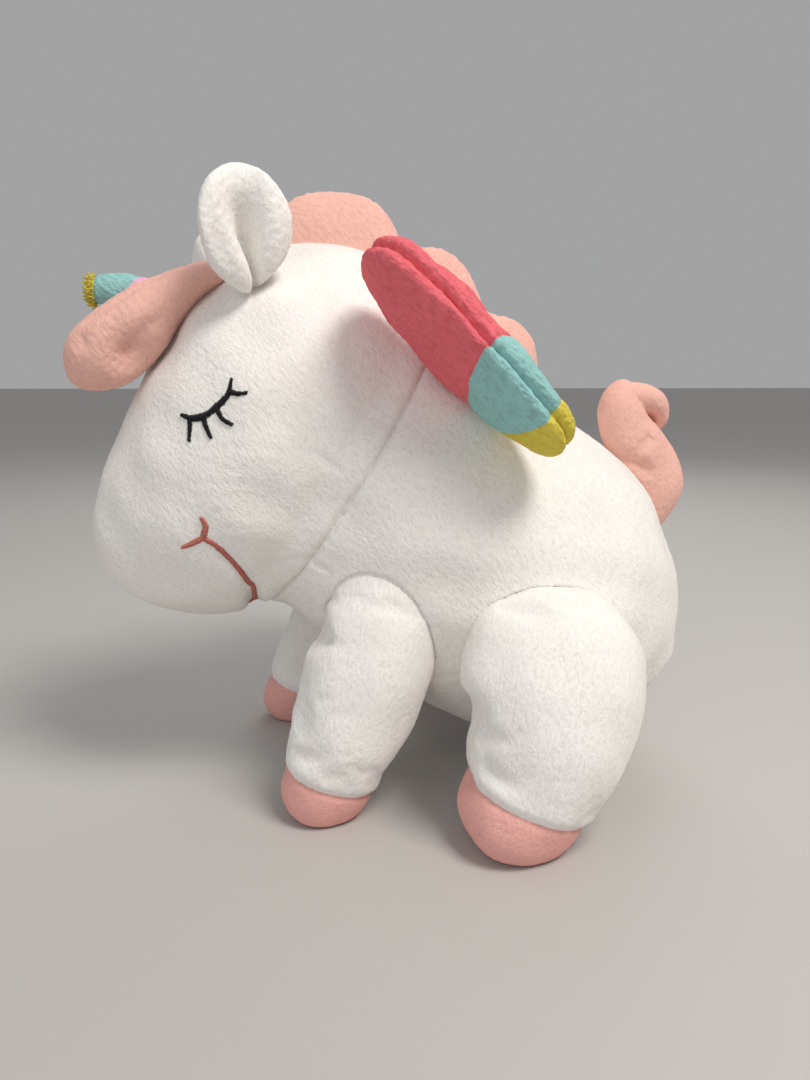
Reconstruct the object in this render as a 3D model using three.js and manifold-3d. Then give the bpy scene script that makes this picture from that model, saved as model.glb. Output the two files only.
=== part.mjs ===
// A winged plush unicorn about 25 cm tall: short-pile fabric covers sewn over polyester filling, with soft
// wings, ears, horn, forelock and tail that bend at the seams that hold them, and four stuffed legs.
// Millimetres, +Z up. The toy faces -Y, its left side is +X, and it stands on Z = 0.

import * as THREE from "three";
import { mergeVertices } from "three/addons/utils/BufferGeometryUtils.js";
import Module from "manifold-3d";

const wasm = await Module();
wasm.setup();

// ---------------------------------------------------------------- driving dimensions

const SKIN = 2; // fabric with its pile
const GAP = 0.3; // between pieces that touch
const THREAD = 1; // how far embroidery stands out of the fabric
const HINGE_GAP = 0.5; // between a moving piece and what it turns against
const SWEEP_STEP = 12; // degrees between the places where a moving piece is kept clear
const FAR = 400; // longer than the toy in any direction

// The neck seam is a flat oval: a point on it, and the normal that points into the head.
const NECK = { point: [0, -20, 137], normal: [0, -0.85, 0.527] };
// The head's sections are square to the line from the muzzle to the nape.
const HEAD_UP = [0, -0.515, 0.857];

// Where each moving piece turns: a point, an axis, and its range in degrees. Those on the left have a mirrored
// twin.
const HINGES = {
  front_leg: { at: [48, -19, 80], axis: [1, 0, 0], range: [-12, 6] },
  hind_leg: { at: [70, 44, 66], axis: [1, 0, 0], range: [-5, 12] },
  wing: { at: [52, 13.4, 171.6], axis: [0.046, 0.705, -0.708], range: [-40, 12] },
  ear: { at: [43, -59, 197], axis: [-0.3, 0.949, 0.1], range: [-30, 35] },
  horn: { at: [0, -84, 195], axis: [1, 0, 0], range: [-20, 20] },
  forelock: { at: [24, -74, 208], axis: [1, 0, 0], range: [-45, 4] },
  tail: { at: [0, 106, 118], axis: [0, 0.2, 0.98], range: [-45, 45] },
};

const RIGHT_EAR_LEAN = 20; // degrees that the right ear is folded forward from the left one's mirror image

const COLOURS = {
  white: 0xf3efe9,
  peach: 0xf0b9a8,
  pink: 0xe0707c,
  teal: 0x8fbfbd,
  yellow: 0xd3bf45,
  filling: 0xfafafa,
  black: 0x17171a,
  rose: 0xb35a52,
};

// ---------------------------------------------------------------- shapes

const vector = (p) => new THREE.Vector3(...p);

// Keeps only the positions, with shared corners merged, so that the geometry is one closed surface.
function closed(geometry) {
  geometry.deleteAttribute("normal");
  geometry.deleteAttribute("uv");
  return mergeVertices(geometry, 1e-4);
}

// A stuffed form: a sphere whose pole-to-pole line follows spine, with the half sizes in radii (sideways, and
// along the section's height). up fixes the direction of the sections' height; without it they are square to
// the spine.
function stuffed({ spine, radii, up, side = [1, 0, 0], blunt = 2, around = 16, along = 12 }) {
  const line = new THREE.CatmullRomCurve3(spine.map(vector), false, "catmullrom");
  const halves = radii.map(([a, b]) => new THREE.Vector3(a, b, 0));
  const size = new THREE.CatmullRomCurve3(halves, false, "catmullrom");
  const geometry = closed(new THREE.SphereGeometry(1, around, along));
  const position = geometry.attributes.position;
  for (let i = 0; i < position.count; i++) {
    const p = new THREE.Vector3().fromBufferAttribute(position, i);
    const t = THREE.MathUtils.clamp((1 - p.y) / 2, 0, 1);
    const reach = Math.pow(Math.max(0, 1 - Math.pow(Math.abs(p.y), blunt)), 1 / blunt);
    const turn = Math.atan2(p.z, p.x);
    const tangent = line.getTangent(THREE.MathUtils.clamp(t, 0.01, 0.99));
    const height = up ? vector(up) : new THREE.Vector3().crossVectors(tangent, vector(side));
    height.normalize();
    const across = new THREE.Vector3().crossVectors(height, tangent).normalize();
    const { x: wide, y: high } = size.getPoint(t);
    const at = line
      .getPoint(t)
      .addScaledVector(across, reach * wide * Math.cos(turn))
      .addScaledVector(height, reach * high * Math.sin(turn));
    position.setXYZ(i, at.x, at.y, at.z);
  }
  return geometry;
}

// A flat pad sewn round its edge: outline is its closed edge in its own plane, and thick is half its thickness.
// from and to limit it to one face, and bend lifts it out of its plane.
function pad({ outline, centre, thick, from = -1, to = 1, bend = () => 0, around = 20, rings = 8, place }) {
  const edge = new THREE.CatmullRomCurve3(outline.map(([a, b]) => new THREE.Vector3(a, b, 0)), true);
  const middle = new THREE.Vector3(...centre, 0);
  const geometry = closed(new THREE.SphereGeometry(1, around, rings).rotateX(Math.PI / 2));
  const position = geometry.attributes.position;
  for (let i = 0; i < position.count; i++) {
    const p = new THREE.Vector3().fromBufferAttribute(position, i);
    const share = ((Math.atan2(p.y, p.x) / (2 * Math.PI)) + 1) % 1;
    const reach = Math.min(1, Math.hypot(p.x, p.y));
    const puff = Math.sign(p.z) * Math.cbrt(1 - reach ** 3);
    const at = middle.clone().lerp(edge.getPoint(share), reach);
    at.z = thick * THREE.MathUtils.clamp(puff, from, to) + bend(at.x, at.y);
    at.applyMatrix4(place);
    position.setXYZ(i, at.x, at.y, at.z);
  }
  if (place.determinant() < 0) geometry.index.array.reverse();
  return geometry;
}

// The same surface with the triangles of its right half laid out as a mirror image of those on its left.
function evenSided(geometry) {
  const { position } = geometry.toNonIndexed().attributes;
  const corners = [];
  for (let i = 0; i < position.count; i += 3) {
    const triangle = [0, 1, 2].map((k) => new THREE.Vector3().fromBufferAttribute(position, i + k));
    if (triangle[0].x + triangle[1].x + triangle[2].x <= 0) continue;
    corners.push(...triangle, ...triangle.map((p) => new THREE.Vector3(-p.x, p.y, p.z)).reverse());
  }
  return mergeVertices(new THREE.BufferGeometry().setFromPoints(corners), 1e-3);
}

// The same surface moved out along its normals, or in where distance is negative.
function grown(geometry, distance) {
  const copy = geometry.clone();
  copy.computeVertexNormals();
  const { position, normal } = copy.attributes;
  for (let i = 0; i < position.count; i++) {
    const out = new THREE.Vector3().fromBufferAttribute(normal, i);
    const at = new THREE.Vector3().fromBufferAttribute(position, i).addScaledVector(out, distance);
    position.setXYZ(i, at.x, at.y, at.z);
  }
  copy.deleteAttribute("normal");
  return copy;
}

// ---------------------------------------------------------------- joining and cutting

function solid(geometry) {
  const vertProperties = new Float32Array(geometry.attributes.position.array);
  const triVerts = new Uint32Array(geometry.index.array);
  return new wasm.Manifold(new wasm.Mesh({ numProp: 3, vertProperties, triVerts }));
}

function geometryOf(body) {
  const mesh = body.getMesh();
  const geometry = new THREE.BufferGeometry();
  geometry.setAttribute("position", new THREE.BufferAttribute(mesh.vertProperties, 3));
  geometry.setIndex(new THREE.BufferAttribute(mesh.triVerts, 1));
  geometry.computeVertexNormals();
  return geometry;
}

// A flat outline in (y, z), extruded across the toy between two values of x.
function prism(shape, fromX, toX) {
  const extrusion = { depth: toX - fromX, bevelEnabled: false, curveSegments: 6 };
  const geometry = new THREE.ExtrudeGeometry(shape, extrusion);
  const basis = new THREE.Matrix4().makeBasis(vector([0, 1, 0]), vector([0, 0, 1]), vector([1, 0, 0]));
  return solid(closed(geometry.applyMatrix4(basis).translate(fromX, 0, 0)));
}

// What is on the side of a plane that its normal points to, left shift away from it.
function beyond(body, { point, normal }, shift = 0) {
  const n = vector(normal).normalize();
  return body.trimByPlane(n.toArray(), n.dot(vector(point)) + shift);
}

const flipped = ({ point, normal }) => ({ point, normal: normal.map((c) => -c) });

// The body in every place that it takes, as seen from a piece that turns on this hinge.
function sweptAgainst(body, { at, axis, range: [low, high] }) {
  const steps = Math.ceil((high - low) / SWEEP_STEP);
  let swept = body;
  for (let i = 0; i <= steps; i++) {
    const angle = THREE.MathUtils.degToRad(low + ((high - low) * i) / steps);
    const turn = new THREE.Matrix4()
      .makeTranslation(...at)
      .multiply(new THREE.Matrix4().makeRotationAxis(vector(axis).normalize(), -angle))
      .multiply(new THREE.Matrix4().makeTranslation(...at.map((c) => -c)));
    swept = swept.add(body.transform(turn.toArray()));
  }
  return swept;
}

// A cover of one skin's thickness and the filling inside it, both clear of what they turn against, with the
// bottom pressed flat at the height of base.
function coverAndFilling(outer, inTheWay, base = -FAR) {
  const above = (body, height) => body.trimByPlane([0, 0, 1], height);
  const cavity = above(solid(grown(outer, -SKIN)), base + SKIN);
  return {
    cover: above(solid(outer), base).subtract(inTheWay).subtract(cavity),
    filling: above(solid(grown(outer, -SKIN - GAP)), base + SKIN + GAP).subtract(inTheWay),
  };
}

// ---------------------------------------------------------------- the assembly

const unicorn = new THREE.Group();

function add(name, body, colour, mirrorToo = false) {
  const material = new THREE.MeshStandardMaterial({ color: COLOURS[colour], roughness: 0.95, metalness: 0 });
  const geometry = geometryOf(body);
  const mesh = new THREE.Mesh(geometry, material);
  mesh.name = name;
  unicorn.add(mesh);
  if (mirrorToo) {
    const twin = new THREE.Mesh(geometry, material);
    twin.name = name.replace("left", "right");
    twin.scale.x = -1;
    unicorn.add(twin);
  }
}

// ---------------------------------------------------------------- head and torso

const headForm = evenSided(stuffed({
  spine: [
    [0, -123, 90],
    [0, -98, 105],
    [0, -76, 125],
    [0, -53, 146],
    [0, -27, 165],
    [0, -1, 180],
    [0, 28, 190],
  ],
  radii: [
    [54, 49],
    [55, 52],
    [57, 56],
    [60, 64],
    [62, 66],
    [60, 65],
    [50, 64],
  ],
  up: HEAD_UP,
  around: 20,
  along: 12,
}));

const torsoForm = evenSided(stuffed({
  spine: [
    [0, -92, 124],
    [0, -52, 127],
    [0, -14, 127],
    [0, 24, 101],
    [0, 60, 83],
    [0, 94, 75],
    [0, 125, 68],
  ],
  radii: [
    [62, 60],
    [68, 68],
    [69, 84],
    [70, 83],
    [75, 75],
    [77, 75],
    [72, 76],
  ],
  up: [0, 0, 1],
  around: 20,
  along: 13,
}));

const MIDPLANE = { point: [0, 0, 0], normal: [1, 0, 0] };

// Two panels that meet in a seam along the toy's middle.
function addHalves(leftName, body, colour) {
  add(leftName, beyond(body, MIDPLANE, GAP / 2), colour);
  add(leftName.replace("left", "right"), beyond(body, flipped(MIDPLANE), GAP / 2), colour);
}

function addHead() {
  const inside = beyond(solid(grown(headForm, -SKIN)), NECK, -SKIN);
  const skin = beyond(solid(headForm), NECK, GAP / 2).subtract(inside);
  addHalves("head_left_panel", skin, "white");
  add("head_filling", beyond(solid(grown(headForm, -SKIN - GAP)), NECK, GAP / 2), "filling");
}

// The belly panel runs from the chest, down between the legs, to below the tail.
const BELLY_SEAM = [
  [-48, 106],
  [-30, 92],
  [-8, 68],
  [14, 49],
  [50, 38],
  [90, 38],
  [118, 46],
];

function bellyRegion(rise) {
  const seam = new THREE.SplineCurve(BELLY_SEAM.map(([y, z]) => new THREE.Vector2(y, z + rise)));
  const shape = new THREE.Shape(seam.getPoints(16));
  shape.lineTo(FAR, 46 + rise);
  shape.lineTo(FAR, -FAR);
  shape.lineTo(-FAR, -FAR);
  shape.lineTo(-FAR, 106 + rise);
  return prism(shape, -FAR, FAR);
}

const BEHIND_NECK = flipped(NECK);

function addTorso() {
  const inside = beyond(solid(grown(torsoForm, -SKIN)), BEHIND_NECK, -SKIN);
  const skin = beyond(solid(torsoForm), BEHIND_NECK, GAP / 2).subtract(inside);
  add("belly_panel", skin.intersect(bellyRegion(-GAP / 2)), "white");
  addHalves("torso_left_panel", skin.subtract(bellyRegion(GAP / 2)), "white");
  add("torso_filling", beyond(solid(grown(torsoForm, -SKIN - GAP)), BEHIND_NECK, GAP / 2), "filling");
}

addHead();
addTorso();
const headAndTorso = beyond(solid(grown(headForm, HINGE_GAP)), NECK, -GAP).add(
  beyond(solid(grown(torsoForm, HINGE_GAP)), BEHIND_NECK, -GAP),
);

// ---------------------------------------------------------------- legs

const frontLeg = {
  spine: [
    [51, -13, 104],
    [50, -16, 76],
    [50, -22.5, 50],
    [51, -32.5, 24],
    [51, -39.5, -3.5],
  ],
  radii: [
    [18, 22],
    [21, 24.5],
    [21, 24.5],
    [20, 21.5],
    [19.5, 20.5],
  ],
  blunt: 2.6,
  around: 12,
  along: 9,
};

// The right front leg stands a little further forward than the left one.
const FORWARD = [0, 0, -1.5, -6, -9.5];
const rightFrontLeg = { ...frontLeg, spine: frontLeg.spine.map(([x, y, z], i) => [-x, y + FORWARD[i], z]) };

const hindLeg = {
  spine: [
    [66, 47, 92],
    [73, 46, 70],
    [79, 44.5, 48],
    [83, 36.5, 24],
    [85, 25.5, -3.5],
  ],
  radii: [
    [22, 33],
    [27, 35],
    [27, 32.5],
    [25, 27],
    [23, 23.5],
  ],
  blunt: 2.8,
  around: 12,
  along: 9,
};

// The seam between a leg's white sleeve and its pink hoof.
const FRONT_HOOF = { point: [50, -39, 17], normal: [0, 0.33, 0.944] };
const RIGHT_FRONT_HOOF = { point: [-50, -46, 17], normal: [0, 0.33, 0.944] };
const HIND_HOOF = { point: [84, 30, 20], normal: [0, 0.4, 0.917] };

function addLeg(name, form, hinge, hoofSeam, mirrorToo = false) {
  const { cover, filling } = coverAndFilling(stuffed(form), sweptAgainst(headAndTorso, hinge), 0);
  add(`${name}_sleeve`, beyond(cover, hoofSeam, GAP / 2), "white", mirrorToo);
  add(`${name}_hoof`, beyond(cover, flipped(hoofSeam), GAP / 2), "peach", mirrorToo);
  add(`${name}_filling`, filling, "filling", mirrorToo);
}

addLeg("left_front_leg", frontLeg, HINGES.front_leg, FRONT_HOOF);
addLeg("right_front_leg", rightFrontLeg, HINGES.front_leg, RIGHT_FRONT_HOOF);
addLeg("left_hind_leg", hindLeg, HINGES.hind_leg, HIND_HOOF, true);

// ---------------------------------------------------------------- wings

const WING_CHORD = vector(HINGES.wing.axis);
const WING_SPAN = vector([0.984, 0.091, 0.154]);
const WING_OUTLINE = [
  [43, 24],
  [40, 34],
  [30, 40],
  [11, 42],
  [-8, 43],
  [-27, 43],
  [-44, 38],
  [-51, 24],
  [-47, 8],
  [-31, 1],
  [-10, -2],
  [9, 0],
  [27, 6],
  [39, 14],
];
// Where the pink gives way to teal, and the teal to yellow.
const WING_TEAL = { point: [87.7, 14.1, 174.7], normal: [0.435, 0.62, -0.652] };
const WING_YELLOW = { point: [85.2, 32.6, 154.5], normal: [-0.15, 0.775, -0.613] };

function addWing() {
  const normal = new THREE.Vector3().crossVectors(WING_CHORD, WING_SPAN).normalize();
  const span = new THREE.Vector3().crossVectors(normal, WING_CHORD).normalize();
  const place = new THREE.Matrix4().makeBasis(WING_CHORD.clone().normalize(), span, normal);
  place.setPosition(...HINGES.wing.at);
  const outer = pad({ outline: WING_OUTLINE, centre: [-2, 21], thick: 8.5, around: 18, rings: 6, place });
  const { cover, filling } = coverAndFilling(outer, sweptAgainst(headAndTorso, HINGES.wing));
  add("left_wing_pink_panel", beyond(cover, flipped(WING_TEAL), GAP / 2), "pink", true);
  const middle = beyond(beyond(cover, WING_TEAL, GAP / 2), flipped(WING_YELLOW), GAP / 2);
  add("left_wing_teal_panel", middle, "teal", true);
  add("left_wing_yellow_tip", beyond(cover, WING_YELLOW, GAP / 2), "yellow", true);
  add("left_wing_padding", filling, "filling", true);
}

addWing();

// ---------------------------------------------------------------- ears

const EAR_OUTLINE = [
  [16.5, 26],
  [12, 39],
  [0, 44.5],
  [-12, 39],
  [-17, 26],
  [-13.5, 11],
  [-2, 2],
  [10.5, 10],
];

// An ear is two layers with their right sides out, pinched into a fold where the head's seam holds them.
function addEar(side, placed, hinge) {
  const up = vector([0.12, -0.12, 0.98]).normalize();
  const out = new THREE.Vector3().crossVectors(vector(HINGES.ear.axis), up).normalize();
  const across = new THREE.Vector3().crossVectors(up, out).normalize();
  const place = new THREE.Matrix4().makeBasis(across, up, out);
  place.setPosition(...HINGES.ear.at).premultiply(placed);
  const ear = { outline: EAR_OUTLINE, centre: [0, 24], thick: 5, around: 16, rings: 6, place };
  const inTheWay = sweptAgainst(headAndTorso, hinge);
  const layer = (face, shift) => {
    const bend = (a) => (a * a) / 45 + shift;
    return solid(pad({ ...ear, ...face, bend })).subtract(inTheWay);
  };
  add(`${side}_ear_front`, layer({ from: 0 }, GAP / 2), "white");
  add(`${side}_ear_back`, layer({ to: 0 }, -GAP / 2), "white");
}

const mirror = new THREE.Matrix4().makeScale(-1, 1, 1);
const [earX, earY, earZ] = HINGES.ear.at;
const leaned = new THREE.Matrix4()
  .makeTranslation(-earX, earY - 3, earZ - 2)
  .multiply(new THREE.Matrix4().makeRotationX(THREE.MathUtils.degToRad(RIGHT_EAR_LEAN)))
  .multiply(new THREE.Matrix4().makeTranslation(earX, -earY, -earZ))
  .multiply(mirror);
const rightEarHinge = {
  at: vector(HINGES.ear.at).applyMatrix4(leaned).toArray(),
  axis: vector(HINGES.ear.axis).transformDirection(leaned).negate().toArray(),
  range: HINGES.ear.range,
};

addEar("left", new THREE.Matrix4(), HINGES.ear);
addEar("right", leaned, rightEarHinge);

// ---------------------------------------------------------------- horn, forelock, mane and tail

function addHorn() {
  const outer = stuffed({
    spine: [
      [0, -70, 191],
      [0, -84, 196],
      [0, -98, 199.5],
      [0, -111, 202],
      [0, -124.5, 203.3],
    ],
    radii: [
      [12, 12],
      [11, 11],
      [8.8, 8.8],
      [7, 7],
      [5.8, 5.8],
    ],
    blunt: 2.6,
    around: 10,
    along: 8,
  });
  const inTheWay = sweptAgainst(headAndTorso, HINGES.horn);
  const { cover, filling } = coverAndFilling(outer, inTheWay);
  const teal = { point: [0, -106.5, 205], normal: [0, -0.78, 0.62] };
  const yellow = { point: [0, -119.5, 203], normal: [0, -1, 0.1] };
  add("horn_pink_base", beyond(cover, flipped(teal), GAP / 2), "pink");
  add("horn_teal_band", beyond(beyond(cover, teal, GAP / 2), flipped(yellow), GAP / 2), "teal");
  add("horn_yellow_tip", beyond(cover, yellow, GAP / 2), "yellow");
  add("horn_filling", filling, "filling");
}

function addForelock() {
  const outer = stuffed({
    spine: [
      [23, -64, 210.5],
      [25, -80, 205],
      [26, -92, 196.5],
      [27, -103, 186.5],
      [27, -115, 177],
      [27, -125.5, 167.5],
    ],
    radii: [
      [10, 6.5],
      [13, 7.5],
      [15, 9],
      [16, 13],
      [16, 15.5],
      [13, 13],
    ],
    blunt: 2.3,
    around: 12,
    along: 10,
  });
  const { cover, filling } = coverAndFilling(outer, sweptAgainst(headAndTorso, HINGES.forelock));
  add("forelock_cover", cover, "peach");
  add("forelock_filling", filling, "filling");
}

// The mane's stations along the top of the head, neck and back: a point there, and how high the mane stands.
const MANE = [
  [-54, 212, 12],
  [-42, 216, 23],
  [-28, 217.5, 27],
  [-14, 214.5, 24],
  [-4, 210.5, 14.5],
  [6, 204.5, 21],
  [16, 197, 22],
  [28, 187, 14.5],
  [38, 179, 20.5],
  [48, 171, 19.5],
  [57, 164.5, 12],
];

function addMane() {
  const outer = stuffed({
    spine: MANE.map(([y, z]) => [0, y, z]),
    radii: MANE.map(([, , height]) => [10, height]),
    blunt: 5,
    around: 8,
    along: 22,
  });
  const { cover, filling } = coverAndFilling(outer, headAndTorso);
  addHalves("mane_left_face", cover, "peach");
  add("mane_filling", filling, "filling");
}

// The tail is a flat S, drawn here in (y, z).
const TAIL_OUTLINE = [
  [120, 150],
  [124, 154],
  [119.5, 163],
  [108, 168.5],
  [96, 167.5],
  [89, 159],
  [93, 143],
  [96, 122],
  [99, 104],
  [115, 102],
  [129, 109],
  [134, 123],
  [129, 136],
  [116, 145],
];

function addTail() {
  const place = new THREE.Matrix4().makeBasis(vector([0, 1, 0]), vector([0, 0, 1]), vector([1, 0, 0]));
  const outer = pad({ outline: TAIL_OUTLINE, centre: [107, 141], thick: 10, around: 22, rings: 6, place });
  const { cover, filling } = coverAndFilling(outer, sweptAgainst(headAndTorso, HINGES.tail));
  add("tail_cover", cover, "peach");
  add("tail_filling", filling, "filling");
}

addHorn();
addForelock();
addMane();
addTail();

// ---------------------------------------------------------------- embroidery

// A stroke of satin stitch between points in (y, z), tapering from one width to another.
function stroke(points, fromWidth, toWidth, fromX, toX) {
  const line = new THREE.SplineCurve(points.map(([y, z]) => new THREE.Vector2(y, z)));
  const steps = points.length > 2 ? 2 * (points.length - 1) : 1;
  const left = [];
  const right = [];
  for (let i = 0; i <= steps; i++) {
    const t = i / steps;
    const p = line.getPoint(t);
    const d = line.getTangent(t);
    const half = THREE.MathUtils.lerp(fromWidth, toWidth, t) / 2;
    left.push(new THREE.Vector2(p.x - d.y * half, p.y + d.x * half));
    right.unshift(new THREE.Vector2(p.x + d.y * half, p.y - d.x * half));
  }
  return prism(new THREE.Shape([...left, ...right]), fromX, toX);
}

function addEmbroidery() {
  const lowLayer = beyond(solid(grown(headForm, GAP)), NECK, GAP);
  const highLayer = beyond(solid(grown(headForm, GAP + THREAD)), NECK, GAP);
  const layer = highLayer.subtract(lowLayer);
  const lid = [
    [-85, 155],
    [-80, 153],
    [-73, 157],
    [-69, 162],
    [-66, 168],
  ];
  const lashes = [
    [[-82, 153], [-82, 145]],
    [[-77, 153.5], [-74, 146]],
    [[-71.5, 157.5], [-66, 152]],
    [[-68, 164], [-61, 164]],
  ];
  let eye = stroke(lid, 2.4, 1.4, 5, 90);
  for (const lash of lashes) eye = eye.add(stroke(lash, 2, 0.9, 5, 90));
  add("left_eye_embroidery", eye.intersect(layer), "black", true);
  const lip = [
    [-80, 109],
    [-74, 104],
    [-68, 96],
    [-66, 86],
    [-66, 60],
  ];
  const mouth = stroke(lip, 2, 2, -90, 90)
    .add(stroke([[-80, 108], [-80, 118]], 2.2, 1.2, -90, 90))
    .add(stroke([[-79.5, 109], [-88, 105]], 2.2, 1.2, -90, 90));
  add("mouth_embroidery", mouth.intersect(layer), "rose");
}

addEmbroidery();

// The origin is under the middle of the toy's length.
const extent = new THREE.Box3().setFromObject(unicorn);
unicorn.position.y = -(extent.min.y + extent.max.y) / 2;

export default unicorn;
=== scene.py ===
import math

import bmesh
import bpy
import numpy as np
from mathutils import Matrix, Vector
from mathutils.bvhtree import BVHTree
from mathutils.kdtree import KDTree


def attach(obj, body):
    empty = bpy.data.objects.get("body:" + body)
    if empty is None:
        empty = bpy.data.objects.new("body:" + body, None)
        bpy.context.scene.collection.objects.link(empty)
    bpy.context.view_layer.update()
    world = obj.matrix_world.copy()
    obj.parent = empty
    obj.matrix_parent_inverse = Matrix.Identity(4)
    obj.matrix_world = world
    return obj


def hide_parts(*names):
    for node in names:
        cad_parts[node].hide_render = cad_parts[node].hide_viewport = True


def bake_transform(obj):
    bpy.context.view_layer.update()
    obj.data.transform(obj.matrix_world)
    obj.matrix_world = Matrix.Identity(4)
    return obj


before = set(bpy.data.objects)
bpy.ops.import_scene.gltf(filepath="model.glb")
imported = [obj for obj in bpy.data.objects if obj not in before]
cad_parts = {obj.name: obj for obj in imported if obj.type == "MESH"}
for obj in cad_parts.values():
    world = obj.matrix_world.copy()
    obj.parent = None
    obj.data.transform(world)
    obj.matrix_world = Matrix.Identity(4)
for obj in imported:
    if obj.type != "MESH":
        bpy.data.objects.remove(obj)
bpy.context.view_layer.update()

MM = 0.001
FLOOR_CLEARANCE = 0.3  # mm

# ------------------------------------------------------------------ camera

CAMERA_AT = (0.34736, -0.05559, 0.167)
CAMERA_YAW, CAMERA_PITCH = math.radians(9.0), math.radians(10.9)
CAMERA_LENS, CAMERA_SENSOR = 27.03, 36


def make_camera():
    cam = bpy.data.objects.new("camera", bpy.data.cameras.new("camera"))
    cam.data.lens, cam.data.sensor_width, cam.data.clip_start = CAMERA_LENS, CAMERA_SENSOR, 0.01
    cam.location = CAMERA_AT
    level = math.cos(CAMERA_PITCH)
    ahead = Vector((-math.cos(CAMERA_YAW) * level, math.sin(CAMERA_YAW) * level, -math.sin(CAMERA_PITCH)))
    cam.rotation_mode = "QUATERNION"
    cam.rotation_quaternion = ahead.to_track_quat("-Z", "Y")
    bpy.context.scene.collection.objects.link(cam)
    bpy.context.scene.camera = cam


make_camera()

# ------------------------------------------------------------------ mesh helpers, in millimetres


def vertices(obj):
    co = np.empty(len(obj.data.vertices) * 3, np.float32)
    obj.data.vertices.foreach_get("co", co)
    return co.reshape(-1, 3).astype(float) / MM


def normals(obj):
    no = np.empty(len(obj.data.vertices) * 3, np.float32)
    obj.data.vertices.foreach_get("normal", no)
    return no.reshape(-1, 3).astype(float)


def move_to(obj, co):
    obj.data.vertices.foreach_set("co", (co * MM).astype(np.float32).ravel())
    obj.data.update()


def link(name, mesh):
    obj = bpy.data.objects.new(name, mesh)
    bpy.context.scene.collection.objects.link(obj)
    return obj


def made(name, bm):
    """A new object from a bmesh."""
    mesh = bpy.data.meshes.new(name)
    bm.to_mesh(mesh)
    bm.free()
    return link(name, mesh)


def bake(obj):
    """Applies the object's modifiers."""
    mesh = bpy.data.meshes.new_from_object(obj.evaluated_get(bpy.context.evaluated_depsgraph_get()))
    old = obj.data
    obj.modifiers.clear()
    obj.data = mesh
    bpy.data.meshes.remove(old)


def weighted(obj, weight, least):
    """A vertex group of the vertices that weigh more than least."""
    group = obj.vertex_groups.new(name="weight")
    for i, w in enumerate(weight):
        if w > least:
            group.add([i], float(min(w, 1)), "REPLACE")
    return group.name


def unit(v):
    v = np.asarray(v, float)
    return v / np.linalg.norm(v, axis=-1, keepdims=True)


def smooth_step(t):
    return t * t * (3 - 2 * t)


def ramped(x, low, high):
    """0 below low, 1 above high, and a smooth step between them."""
    return smooth_step(np.clip((np.asarray(x, float) - low) / (high - low), 0, 1))


def bump(d, width):
    """1 where d is 0, falling away to both sides."""
    return np.exp(-np.minimum((d / width) ** 2, 50))


def lumps(co, scale, seed, waves=20):
    """A smooth random field with unit variance, whose lumps are about scale across."""
    rng = np.random.default_rng(seed)
    k = rng.normal(size=(waves, 3))
    k *= (2 * math.pi / (2 * scale) * rng.uniform(0.6, 1.5, waves) / np.linalg.norm(k, axis=1))[:, None]
    return np.sin(co @ k.T + rng.uniform(0, 2 * math.pi, waves)).sum(1) / math.sqrt(waves / 2)


def beyond(obj, plane):
    """How far each vertex lies beyond a plane, given as a point and a normal."""
    point, normal = plane
    return (vertices(obj) - point) @ normal


# ------------------------------------------------------------------ curves


def with_ends(points):
    """Points with one more at each end, for a Catmull-Rom curve through all of them."""
    p = np.array(points, float)
    return np.vstack([2 * p[0] - p[1], p, 2 * p[-1] - p[-2]])


def catmull_rom(a, b, c, d, u):
    """From b, where u is 0, to c, where it is 1."""
    return 0.5 * (2 * b + (c - a) * u + (2 * a - 5 * b + 4 * c - d) * u**2 + (3 * b - a - 3 * c + d) * u**3)


def curve_at(points, t):
    """Points of a curve through points, at t from 0 to 1."""
    p = with_ends(points)
    at = np.clip(t, 0, 1) * (len(points) - 1)
    i = np.minimum(at.astype(int), len(points) - 2)
    return catmull_rom(p[i], p[i + 1], p[i + 2], p[i + 3], (at - i)[:, None])


def spline(points, step=0.5):
    """A curve through points, sampled about every step mm: (points, distance along)."""
    p = with_ends(points)
    out = []
    for a, b, c, d in zip(p, p[1:], p[2:], p[3:]):
        n = max(2, int(np.linalg.norm(c - b) / step))
        out.append(catmull_rom(a, b, c, d, np.linspace(0, 1, n, endpoint=False)[:, None]))
    out = np.vstack([*out, p[-2:-1]])
    along = np.concatenate([[0], np.cumsum(np.linalg.norm(np.diff(out, axis=0), axis=1))])
    return out, along


def to_line(co, points, reach):
    """Each vertex's distance to a curve, and how far along the curve it is, from 0 to 1. Past reach: inf."""
    line, along = spline(points)
    tree = KDTree(len(line))
    for i, p in enumerate(line):
        tree.insert(p, i)
    tree.balance()
    lo, hi = line.min(0) - reach, line.max(0) + reach
    near = np.flatnonzero(((co > lo) & (co < hi)).all(1))
    far, at = np.full(len(co), np.inf), np.zeros(len(co))
    for i in near:
        _, j, d = tree.find(co[i])
        far[i], at[i] = d, along[j] / along[-1]
    return far, at


# ------------------------------------------------------------------ closed forms


def solid_of(name, nodes, grow):
    """One mesh of CAD nodes, each moved out along its normals."""
    bm = bmesh.new()
    for node in nodes:
        part = bmesh.new()
        part.from_mesh(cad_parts[node].data)
        bmesh.ops.remove_doubles(part, verts=part.verts, dist=1e-5)
        bmesh.ops.recalc_face_normals(part, faces=part.faces)
        part.normal_update()
        for v in part.verts:
            v.co += v.normal * (grow * MM)
        mesh = bpy.data.meshes.new("part")
        part.to_mesh(mesh)
        part.free()
        bm.from_mesh(mesh)
        bpy.data.meshes.remove(mesh)
    return made(name, bm)


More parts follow.
